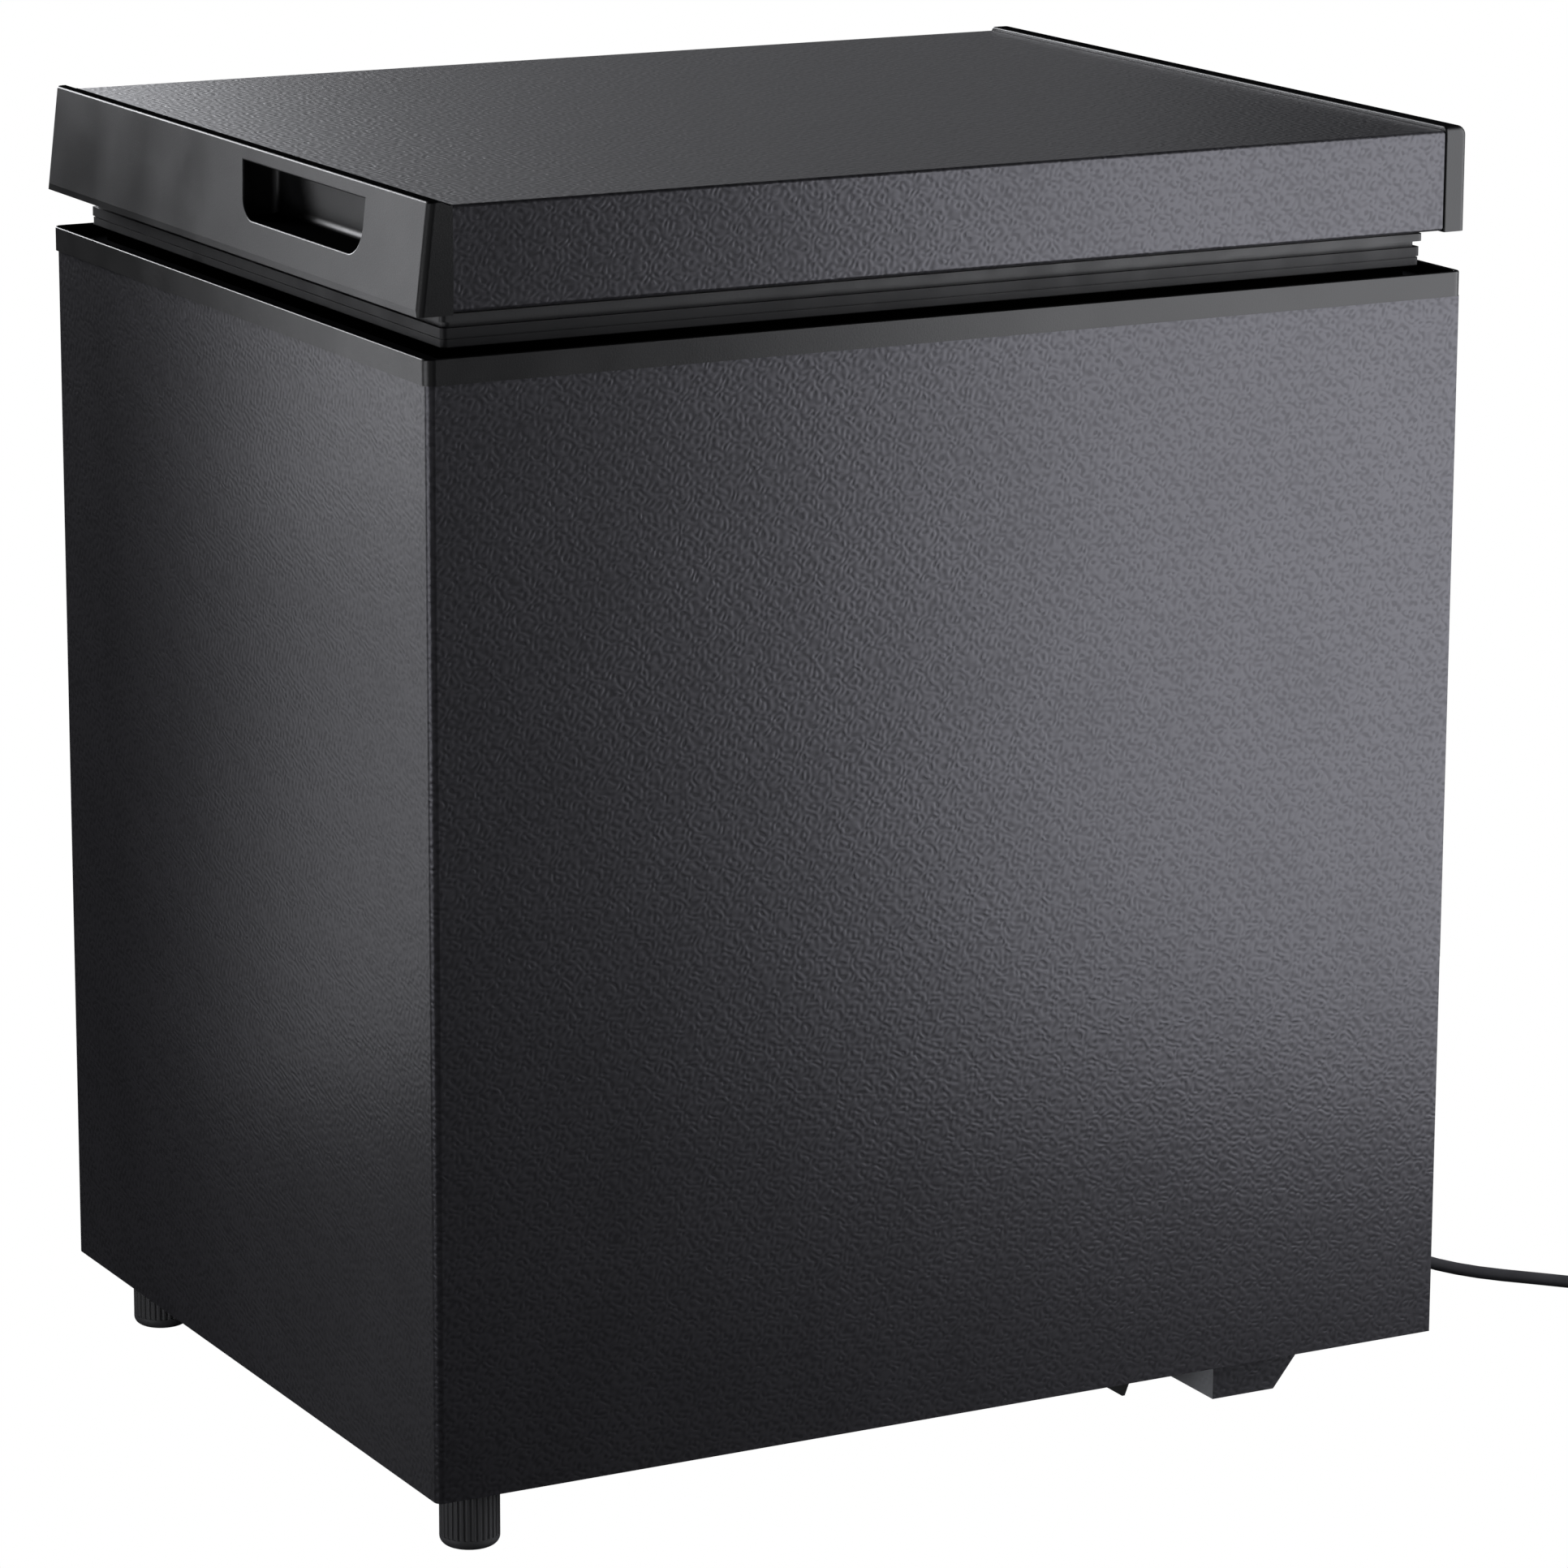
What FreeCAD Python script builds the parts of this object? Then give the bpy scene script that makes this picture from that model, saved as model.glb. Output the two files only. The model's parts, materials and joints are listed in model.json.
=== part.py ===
import FreeCAD, Part
import math
import os
import re

import Sketcher

# Compact top-opening chest freezer. Millimetres, +Z up, floor at Z 0.
# -X is the front (handle and levelling feet), +X the rear (hinges, compressor, cord).
# X and Y are centred on the overall size of the cabinet, lid and hinges.

Vector = FreeCAD.Vector
doc = FreeCAD.newDocument("ChestFreezer")
sheet = doc.addObject("Spreadsheet::Sheet", "Dims")
subparts = []

DIMENSIONS = {
    # cabinet
    "front_x": -269, "cab_len": 523, "cab_wid": 416, "cab_height": 500,
    "foot_height": 28, "sheet_thick": 0.8, "bend_radius": 3.5, "flange_wid": 12,
    "wall_thick": 45, "liner_thick": 1.5, "liner_flange": 15, "liner_round": 20,
    # machine compartment under the step
    "step_len": 140, "step_height": 185, "step_wall": 43, "plate_thick": 1.5,
    "rail_front": 422, "rail_foot": 34, "rail_inset": 32,
    # collar
    "collar_height": 11.5, "collar_plate": 2.5, "collar_proud": 1.2, "rim_thick": 2.4, "rim_depth": 6.4,
    "strip_thick": 0.8, "ledge_wid": 8,
    # lid
    "lid_gap": 19, "lid_height": 46, "skin_front": 12.5, "skin_end": 513, "edge_radius": 2,
    "cap_ridge": 2, "lip_reach": 4, "cap_drop": 1, "rear_cap_end": 525.5,
    "slot_near": 63, "slot_far": 193, "slot_top": 5, "slot_tall": 25, "slot_round": 13,
    "pocket_depth": 19, "plug_inset": 78, "plug_drop": 12,
    "core_inset": 18, "seal_inner": 34.5, "seal_gap": 0.3,
    # hinges
    "hinge_out": 12, "hinge_up": 21, "hinge_y": 113, "hinge_wid": 50, "leaf_thick": 2, "ear_thick": 4,
    "pin_radius": 3, "knuckle_radius": 6, "ear_radius": 7,
    # levelling feet
    "knob_radius": 13.65, "foot_x": 25, "foot_near": 20, "foot_far": 371, "stud_radius": 4,
    "stud_reach": 24, "foot_travel": 12,
    # compressor
    "can_x": 454, "can_radius": 52, "can_height": 138, "bracket_up": 20, "bracket_thick": 2.5,
    "mount_x": 40, "mount_y": 70,
    # thermostat
    "dial_y": 90, "dial_z": 440, "dial_radius": 17,
    # tubes
    "cold_tube": 3, "hot_tube": 2.5, "copper_tube": 3,
    # mains cord
    "cord_radius": 3.1, "cord_y": 7, "cord_up": 15, "gland_len": 24,
    "coil_x": 483, "coil_y": -140, "coil_radius": 35, "coil_spread": 12.3,
    "pin_spacing": 19, "contact_radius": 2.4, "contact_len": 19,
}
for row, (alias, size) in enumerate(DIMENSIONS.items(), start=1):
    sheet.set(f"A{row}", alias)
    sheet.set(f"B{row}", str(size))
    sheet.setAlias(f"B{row}", alias)
doc.recompute()

# Planes of the object, as expressions of the sheet.
FRONT = "front_x"
BACK = "(front_x + cab_len)"
NEAR = "(-cab_wid / 2)"
FAR = "(cab_wid / 2)"
BASE = "foot_height"
TOP = "(foot_height + cab_height)"
COLLAR_TOP = f"({TOP} + collar_height)"
LID_LOW = f"({COLLAR_TOP} + lid_gap)"
LID_TOP = f"({LID_LOW} + lid_height)"
HOLD_X = f"({BACK} - step_len)"
HOLD_Z = "(foot_height + step_height)"


def bound(text):
    """Expression of the sheet's aliases as the document spells it."""
    return re.sub(r"[a-z]\w*", lambda word: "Dims." + word.group(0), str(text))


def number(text):
    """Present value of an expression."""
    return float(sheet.evalExpression(bound(text)))


def keep(part, name):
    """Name a finished sub-part."""
    part.Label = name
    subparts.append(part)
    return part


# ---------------------------------------------------------------- primitives
def block(name, x, y, z):
    """Box between two planes on each axis."""
    solid = doc.addObject("Part::Box", name)
    for size, axis, (low, high) in zip(("Length", "Width", "Height"), "xyz", (x, y, z)):
        solid.setExpression(size, bound(f"({high}) - ({low})"))
        solid.setExpression(f"Placement.Base.{axis}", bound(low))
    return solid


TURNS = {"X": FreeCAD.Rotation(Vector(0, 1, 0), 90), "Y": FreeCAD.Rotation(Vector(1, 0, 0), -90),
         "Z": FreeCAD.Rotation()}


def rod(name, axis, start, length, radius, radius_end=None):
    """Cylinder or cone from a start point along +X, +Y or +Z."""
    solid = doc.addObject("Part::Cone" if radius_end else "Part::Cylinder", name)
    if radius_end:
        solid.setExpression("Radius1", bound(radius))
        solid.setExpression("Radius2", bound(radius_end))
    else:
        solid.setExpression("Radius", bound(radius))
    solid.setExpression("Height", bound(length))
    solid.Placement = FreeCAD.Placement(Vector(), TURNS[axis])
    for letter, place in zip("xyz", start):
        solid.setExpression(f"Placement.Base.{letter}", bound(place))
    return solid


def joined(name, *solids):
    """One solid, or a group of separate solids, from several."""
    union = doc.addObject("Part::MultiFuse", name)
    union.Shapes = list(solids)
    union.Refine = True
    return union


def cut(name, base, *tools):
    """Base with the tools taken away."""
    result = doc.addObject("Part::Cut", name)
    result.Base = base
    result.Tool = tools[0] if len(tools) == 1 else joined(name + "_tools", *tools)
    result.Refine = True
    return result


# ------------------------------------------------------- sketched features
def sketch_on(body, role, offset):
    plane = [item for item in body.Origin.OriginFeatures if item.Role == role][0]
    sketch = body.newObject("Sketcher::SketchObject", "Outline")
    sketch.AttachmentSupport = [(plane, "")]
    sketch.MapMode = "FlatFace"
    sketch.setExpression("AttachmentOffset.Base.z", bound(offset))
    return sketch


def pin_down(sketch, corner, point):
    """Bind one sketch vertex to two expressions."""
    for kind, place in zip(("DistanceX", "DistanceY"), point):
        index = sketch.addConstraint(Sketcher.Constraint(kind, corner[0], corner[1], number(place)))
        sketch.setExpression(f"Constraints[{index}]", bound(place))


def outline(body, role, offset, points):
    """Closed polygon whose corners are expressions."""
    sketch = sketch_on(body, role, offset)
    corners = [Vector(number(across), number(along), 0) for across, along in points]
    for index, corner in enumerate(corners):
        sketch.addGeometry(Part.LineSegment(corner, corners[(index + 1) % len(corners)]), False)
    for index in range(len(corners)):
        sketch.addConstraint(Sketcher.Constraint("Coincident", index, 2, (index + 1) % len(corners), 1))
    for index, point in enumerate(points):
        pin_down(sketch, (index, 1), point)
    return sketch


def circle(body, role, offset, centre, radius):
    sketch = sketch_on(body, role, offset)
    middle = Vector(number(centre[0]), number(centre[1]), 0)
    sketch.addGeometry(Part.Circle(middle, Vector(0, 0, 1), number(radius)), False)
    pin_down(sketch, (0, 3), centre)
    index = sketch.addConstraint(Sketcher.Constraint("Radius", 0, number(radius)))
    sketch.setExpression(f"Constraints[{index}]", bound(radius))
    return sketch


def extrude(body, sketch, length, away):
    """Pad, or a pocket when away is true, along the sketch's normal."""
    feature = body.newObject("PartDesign::Pocket" if away else "PartDesign::Pad", "Extrusion")
    feature.Profile = sketch
    feature.setExpression("Length", bound(length))
    feature.Reversed = away
    feature.Refine = True
    sketch.Visibility = False
    return feature


def depth(role, low, high):
    """Offset of the sketch plane, and length, so that the feature runs from low to high."""
    start = f"-({high})" if role == "XZ_Plane" else low
    return start, f"({high}) - ({low})"


def prism(body, role, low, high, points, away=False):
    start, length = depth(role, low, high)
    return extrude(body, outline(body, role, start, points), length, away)


def drill(body, role, low, high, centre, radius, away=True):
    start, length = depth(role, low, high)
    return extrude(body, circle(body, role, start, centre, radius), length, away)


def rectangle(low, high):
    return [(low[0], low[1]), (high[0], low[1]), (high[0], high[1]), (low[0], high[1])]


def new_body(name):
    return doc.addObject("PartDesign::Body", name)


def dress(body, kind, size, chosen):
    """Fillet or chamfer the edges that the test picks by their middle and direction."""
    doc.recompute()
    base = body.Tip
    names = []
    for index, edge in enumerate(base.Shape.Edges, start=1):
        middle = edge.valueAt((edge.FirstParameter + edge.LastParameter) / 2)
        box = edge.BoundBox
        if chosen(middle, box):
            names.append(f"Edge{index}")
    if not names:
        raise ValueError(f"{body.Label}: no edge to dress with {size}")
    feature = body.newObject("PartDesign::" + kind, f"{body.Name}_{kind}")
    feature.Base = (base, names)
    feature.setExpression("Radius" if kind == "Fillet" else "Size", bound(size))
    doc.recompute()
    return feature


def near_to(value, target):
    return abs(value - number(target)) < 0.01


# ------------------------------------------------------------------- tubes
def bend_radius_at(before, corner, after):
    """Radius of the tangent arc that replaces one corner of a route."""
    incoming = corner - before
    outgoing = after - corner
    turn = incoming.getAngle(outgoing)
    return 0.45 * min(incoming.Length, outgoing.Length) / math.tan(turn / 2), turn


def tube_route(points, radius_cap=None):
    """Straight runs joined by tangent arcs."""
    edges = []
    radii = []
    start = points[0]
    for before, corner, after in zip(points, points[1:], points[2:]):
        radius, turn = bend_radius_at(before, corner, after)
        if radius_cap:
            radius = min(radius, radius_cap)
        reach = radius * math.tan(turn / 2)
        arrive = corner + (before - corner).normalize() * reach
        leave = corner + (after - corner).normalize() * reach
        inward = (arrive + leave) * 0.5 - corner
        crown = corner + inward.normalize() * (math.hypot(radius, reach) - radius)
        edges.append(Part.LineSegment(start, arrive).toShape())
        edges.append(Part.Arc(arrive, crown, leave).toShape())
        radii.append(radius)
        start = leave
    edges.append(Part.LineSegment(start, points[-1]).toShape())
    return Part.Wire(edges), radii


def tube(name, radius, points, radius_cap=None):
    """Round tube along a route, checked against its section times its length."""
    wire, radii = tube_route([Vector(*point) for point in points], radius_cap)
    first = wire.Edges[0]
    section = Part.Circle(first.valueAt(first.FirstParameter), first.tangentAt(first.FirstParameter), radius)
    solid = wire.makePipeShell([Part.Wire(section.toShape())], True, True)
    expected = math.pi * radius**2 * wire.Length
    if abs(solid.Volume / expected - 1) > 0.01:
        raise ValueError(f"{name}: volume {solid.Volume:.0f}, expected {expected:.0f}")
    feature = doc.addObject("Part::Feature", name)
    feature.Shape = solid
    print(name, f"length {wire.Length:.0f}, smallest bend {min(radii):.1f}" if radii else "straight")
    return feature


# ---------------------------------------------------------------- cabinet
def cabinet_wrapper():
    """One bent sheet: near side, front and far side, with flanges at the rear."""
    body = new_body("wrapper")
    t = "sheet_thick"
    prism(body, "XY_Plane", BASE, TOP, [
        (BACK, NEAR), (FRONT, NEAR), (FRONT, FAR), (BACK, FAR),
        (BACK, f"{FAR} - flange_wid"), (f"{BACK} - {t}", f"{FAR} - flange_wid"),
        (f"{BACK} - {t}", f"{FAR} - {t}"), (f"{FRONT} + {t}", f"{FAR} - {t}"),
        (f"{FRONT} + {t}", f"{NEAR} + {t}"), (f"{BACK} - {t}", f"{NEAR} + {t}"),
        (f"{BACK} - {t}", f"{NEAR} + flange_wid"), (BACK, f"{NEAR} + flange_wid")])
    dress(body, "Fillet", "bend_radius", lambda p, b: b.ZLength > 400 and near_to(p.x, FRONT))
    dress(body, "Fillet", f"bend_radius - {t}",
          lambda p, b: b.ZLength > 400 and near_to(p.x, f"{FRONT} + {t}") and abs(p.y) > 200)
    return keep(body, "cabinet_wrapper")


def rear_panel():
    """Flat sheet over the rear flanges, above the machine compartment."""
    return keep(block("rear_sheet", (BACK, f"{BACK} + sheet_thick"),
                      (f"{NEAR} + 1", f"{FAR} - 1"), (HOLD_Z, TOP)), "rear_panel")


def bottom_panel():
    """Bent sheet: floor of the cabinet, front wall and roof of the machine compartment."""
    body = new_body("floor_sheet")
    t = "sheet_thick"
    prism(body, "XZ_Plane", f"{NEAR} + {t}", f"{FAR} - {t}", [
        (f"{FRONT} + {t}", BASE), (f"{HOLD_X} + {t}", BASE), (f"{HOLD_X} + {t}", HOLD_Z),
        (f"{BACK} - {t}", HOLD_Z), (f"{BACK} - {t}", f"{HOLD_Z} + {t}"), (HOLD_X, f"{HOLD_Z} + {t}"),
        (HOLD_X, f"{BASE} + {t}"), (f"{FRONT} + {t}", f"{BASE} + {t}")])
    dress(body, "Fillet", f"bend_radius - {t}", lambda p, b: near_to(p.x, f"{FRONT} + {t}")
          and b.ZLength < 1 and b.YLength < 1)
    for place in ("foot_near", "foot_far"):
        drill(body, "XY_Plane", BASE, f"{BASE} + {t}", (f"{FRONT} + foot_x", f"{NEAR} + {place}"),
              "stud_radius + 0.6")
    return keep(body, "bottom_panel")


def base_plate():
    """Floor of the machine compartment: turned down in front, turned up at the rear."""
    body = new_body("machine_floor")
    side = "sheet_thick + 0.4"
    prism(body, "XY_Plane", BASE, f"{BASE} + plate_thick",
          rectangle((f"{HOLD_X} + 2", f"{NEAR} + {side}"), (f"{BACK} - 1", f"{FAR} - ({side})")))
    prism(body, "YZ_Plane", f"{HOLD_X} + 2", f"{HOLD_X} + 2 + plate_thick", [
        (f"{NEAR} + 40", BASE), (f"{NEAR} + 54", "0.8"), (f"{FAR} - 54", "0.8"), (f"{FAR} - 40", BASE)])
    prism(body, "YZ_Plane", f"{BACK} - 1 - plate_thick", f"{BACK} - 1",
          rectangle((f"{NEAR} + 30", BASE), (f"{FAR} - 30", f"{BASE} + 30")))
    drill(body, "YZ_Plane", f"{BACK} - 5", BACK, ("cord_y", f"{BASE} + cord_up"), "cord_radius + 3")
    return keep(body, "compressor_base_plate")


def rear_foot_rail():
    """Folded channel across the cabinet that carries the rear on the floor."""
    body = new_body("rail")
    front = f"{FRONT} + rail_front"
    near = f"{NEAR} + rail_inset"
    far = f"{FAR} - rail_inset"
    prism(body, "XZ_Plane", near, far, [
        (front, BASE), (front, "0"), (f"{front} + rail_foot", "0"),
        (f"{front} + rail_foot + 12", "15"), (f"{front} + rail_foot + 22", BASE)])
    prism(body, "XZ_Plane", f"{near} + 1.5", f"{far} - 1.5", [
        (f"{front} + 1.5", BASE), (f"{front} + 1.5", "1.5"), (f"{front} + rail_foot - 0.7", "1.5"),
        (f"{front} + rail_foot + 10.6", "15.8"), (f"{front} + rail_foot + 20.2", BASE)], away=True)
    return keep(body, "rear_foot_rail")


def stepped_block(name, inset, top, rounding):
    """Block of the cabinet's inside with the step over the machine compartment."""
    body = new_body(name)
    wall = f"(wall_thick + {inset})"
    prism(body, "XZ_Plane", f"{NEAR} + {wall}", f"{FAR} - {wall}", [
        (f"{FRONT} + {wall}", f"{BASE} + {wall}"),
        (f"{HOLD_X} - step_wall - {inset}", f"{BASE} + {wall}"),
        (f"{HOLD_X} - step_wall - {inset}", f"{HOLD_Z} + step_wall + {inset}"),
        (f"{BACK} - {wall}", f"{HOLD_Z} + step_wall + {inset}"), (f"{BACK} - {wall}", top),
        (f"{FRONT} + {wall}", top)])
    dress(body, "Fillet", rounding, lambda p, b: b.ZLength > 100 and b.XLength < 1 and b.YLength < 1)
    return body


RECESS = f"({COLLAR_TOP} - rim_depth)"
FLANGE_TOP = f"({RECESS} - collar_plate)"


def inner_liner():
    """Moulded tub with a flange that the collar covers."""
    reach = "(wall_thick - liner_flange)"
    flange = block("tub_flange", (f"{FRONT} + {reach}", f"{BACK} - {reach}"),
                   (f"{NEAR} + {reach}", f"{FAR} - {reach}"), (f"{FLANGE_TOP} - liner_thick", FLANGE_TOP))
    tub = joined("tub_solid", stepped_block("tub_outside", "0", FLANGE_TOP, "liner_round"), flange)
    hollow = stepped_block("tub_inside", "liner_thick", f"{FLANGE_TOP} + 5", "liner_round - liner_thick")
    return keep(cut("tub", tub, hollow), "inner_liner")


def cabinet_foam():
    """Insulation between the outer sheets and the liner."""
    body = new_body("foam_block")
    t = "sheet_thick"
    high = f"{FLANGE_TOP} - liner_thick"
    prism(body, "XZ_Plane", f"{NEAR} + {t}", f"{FAR} - {t}", [
        (f"{FRONT} + {t}", f"{BASE} + {t}"), (HOLD_X, f"{BASE} + {t}"), (HOLD_X, f"{HOLD_Z} + {t}"),
        (f"{BACK} - {t}", f"{HOLD_Z} + {t}"), (f"{BACK} - {t}", high), (f"{FRONT} + {t}", high)])
    dress(body, "Fillet", f"bend_radius - {t}",
          lambda p, b: b.ZLength > 400 and near_to(p.x, f"{FRONT} + {t}"))
    for place in ("foot_near", "foot_far"):
        drill(body, "XY_Plane", f"{BASE} + {t}", f"{BASE} + stud_reach + 6",
              (f"{FRONT} + foot_x", f"{NEAR} + {place}"), "8")
    inside = stepped_block("foam_inside", "0", f"{FLANGE_TOP} + 5", "liner_round")
    skirt = "(collar_plate + 0.3)"
    rim = cut("foam_rim", block("rim_outer", (f"{FRONT} - 5", f"{BACK} + 5"), (f"{NEAR} - 5", f"{FAR} + 5"),
                                (TOP, f"{COLLAR_TOP} + 5")),
              block("rim_inner", (f"{FRONT} + {skirt}", f"{BACK} - {skirt}"),
                    (f"{NEAR} + {skirt}", f"{FAR} - {skirt}"), (f"{TOP} - 5", f"{COLLAR_TOP} + 9")))
    return keep(cut("foam", body, inside, rim), "cabinet_foam")


def framed(inset):
    """Rectangle inside the cabinet's outer faces by an inset."""
    return rectangle((f"{FRONT} + {inset}", f"{NEAR} + {inset}"), (f"{BACK} - {inset}", f"{FAR} - {inset}"))


MOUTH = "(wall_thick + liner_thick - ledge_wid)"
RIM = "(rim_thick - collar_proud)"


def collar_frame():
    """Moulded frame that stands on the sheets' top edges: a skirt with a ledge, and an upstanding rim."""
    body = new_body("collar")
    prism(body, "XY_Plane", TOP, COLLAR_TOP, framed("(-collar_proud)"))
    prism(body, "XY_Plane", TOP, FLANGE_TOP, framed("collar_plate"), away=True)
    prism(body, "XY_Plane", FLANGE_TOP, COLLAR_TOP, framed(RIM), away=True)
    dress(body, "Fillet", "bend_radius + collar_proud", lambda p, b: b.ZLength > 8 and abs(p.x) > 250
          and (near_to(p.x, f"{FRONT} - collar_proud") or near_to(p.x, f"{BACK} + collar_proud")))
    dress(body, "Fillet", "bend_radius - 1", lambda p, b: 8 < b.ZLength < 10 and abs(p.y) > 200)
    dress(body, "Fillet", "0.7", lambda p, b: near_to(p.z, COLLAR_TOP))
    return keep(body, "collar_frame")


def breaker_strip():
    """Plate on the frame's ledge that bridges to the tub and leaves a ledge of the tub's flange bare."""
    body = new_body("breaker")
    prism(body, "XY_Plane", FLANGE_TOP, RECESS, framed(RIM))
    prism(body, "XY_Plane", FLANGE_TOP, RECESS, framed(MOUTH), away=True)
    dress(body, "Fillet", "bend_radius - 1",
          lambda p, b: b.ZLength > 2 and b.XLength < 1 and b.YLength < 1 and abs(p.y) > 200)
    dress(body, "Fillet", "liner_round - liner_thick + ledge_wid",
          lambda p, b: b.ZLength > 2 and b.XLength < 1 and b.YLength < 1 and abs(p.y) < 175)
    return keep(body, "breaker_strip")


def seal_strip():
    """Flat steel ring in the collar's recess that the magnetic seal closes on."""
    body = new_body("strike_ring")
    low, high = RECESS, f"{RECESS} + strip_thick"
    prism(body, "XY_Plane", low, high, framed("(rim_thick + 0.3)"))
    prism(body, "XY_Plane", low, high, framed(f"({MOUTH} - 2)"), away=True)
    return keep(body, "seal_strip")


# ------------------------------------------------------- refrigerant circuit
def rectangular_coil(name, radius, inset, low, pitch, turns, bend):
    """Tube wound in rising rectangles, inset from the cabinet's outer faces."""
    x_low, x_high = number(f"{FRONT} + {inset}"), number(f"{BACK} - ({inset})")
    y_high = number(f"{FAR} - ({inset})")
    corners = [(x_low, -y_high), (x_low, y_high), (x_high, y_high), (x_high, -y_high)]
    points = [(x_high - 60, -y_high, number(low) - pitch / 8)]
    for index in range(4 * turns):
        across, along = corners[index % 4]
        points.append((across, along, number(low) + pitch * index / 4))
    points.append((x_low + 60, -y_high, number(low) + pitch * (turns - 1 / 8)))
    return keep(tube(name + "_pipe", number(radius), points, bend), name)


def compressor_shell():
    """Hermetic can turned from a profile, with its weld seam."""
    body = new_body("can")
    low = f"{BASE} + bracket_up + bracket_thick"
    seam = f"{low} + 78"
    sketch = outline(body, "XZ_Plane", "0", [
        ("0", low), ("can_radius - 14", low), ("can_radius", f"{low} + 14"), ("can_radius", seam),
        ("can_radius + 2.5", seam), ("can_radius + 2.5", f"{seam} + 3"), ("can_radius", f"{seam} + 3"),
        ("can_radius", f"{low} + can_height - 30"), ("can_radius - 20", f"{low} + can_height - 6"),
        ("0", f"{low} + can_height")])
    spin = body.newObject("PartDesign::Revolution", "Turned")
    spin.Profile = sketch
    spin.ReferenceAxis = (sketch, ["V_Axis"])
    spin.Angle = 360
    dress(body, "Fillet", "9", lambda p, b: b.ZLength < 0.01 and b.XLength > 60 and (
        near_to(p.z, f"{low} + 14") or near_to(p.z, low)
        or near_to(p.z, f"{low} + can_height - 30") or near_to(p.z, f"{low} + can_height - 6")))
    body.setExpression("Placement.Base.x", bound(f"{FRONT} + can_x"))
    return keep(body, "compressor_shell")


def four_mounts():
    """Centres of the compressor's four feet."""
    for side in ("-", "+"):
        for end in ("-", "+"):
            yield f"{FRONT} + can_x {side} mount_x", f"0 {end} mount_y"


def compressor_bracket():
    """Plate under the can with a hole at each corner."""
    body = new_body("can_feet")
    low = f"{BASE} + bracket_up"
    prism(body, "XY_Plane", low, f"{low} + bracket_thick",
          rectangle((f"{FRONT} + can_x - mount_x - 13", "-mount_y - 13"),
                    (f"{FRONT} + can_x + mount_x + 13", "mount_y + 13")))
    dress(body, "Fillet", "12", lambda p, b: b.ZLength > 2 and b.XLength < 1)
    for x, y in four_mounts():
        drill(body, "XY_Plane", low, f"{low} + bracket_thick", (x, y), "7.1")
    return keep(body, "compressor_bracket")


def rubber_grommets():
    pieces = []
    for index, (x, y) in enumerate(four_mounts()):
        low = f"{BASE} + plate_thick"
        plate = f"{BASE} + bracket_up"
        solid = joined(f"grommet_body{index}",
                       rod("grommet_low", "Z", (x, y, low), f"{plate} - ({low})", "11"),
                       rod("grommet_neck", "Z", (x, y, f"{plate} - 1"), "bracket_thick + 2", "7"),
                       rod("grommet_top", "Z", (x, y, f"{plate} + bracket_thick"), "6", "9.5"))
        pieces.append(cut(f"grommet{index}", solid, rod("grommet_bore", "Z", (x, y, BASE), "40", "3.3")))
    return keep(joined("grommets", *pieces), "rubber_grommets")


def mounting_bolts():
    pieces = []
    for index, (x, y) in enumerate(four_mounts()):
        low = f"{BASE} + plate_thick"
        seat = f"{BASE} + bracket_up + bracket_thick + 6"
        pieces.append(joined(f"bolt{index}",
                             rod("bolt_shank", "Z", (x, y, low), f"{seat} - ({low}) + 2", "3"),
                             rod("bolt_washer", "Z", (x, y, seat), "1.5", "8"),
                             rod("bolt_head", "Z", (x, y, f"{seat} + 1.5"), "5", "5.2")))
    return keep(joined("bolts", *pieces), "compressor_bolts")


def terminal_cover(can):
    """Moulded box over the compressor's terminals and start relay."""
    low = f"{BASE} + 75"
    cover = block("relay_box", (f"{FRONT} + can_x - 24", f"{FRONT} + can_x + 24"),
                  ("can_radius - 14", "can_radius + 26"), (low, f"{low} + 26"))
    upper = block("relay_box_top", (f"{FRONT} + can_x - 20", f"{FRONT} + can_x + 20"),
                  ("can_radius - 14", "can_radius + 18"), (f"{low} + 26", f"{low} + 44"))
    return keep(cut("relay_cover", joined("relay_solid", cover, upper), can), "terminal_cover")


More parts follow.
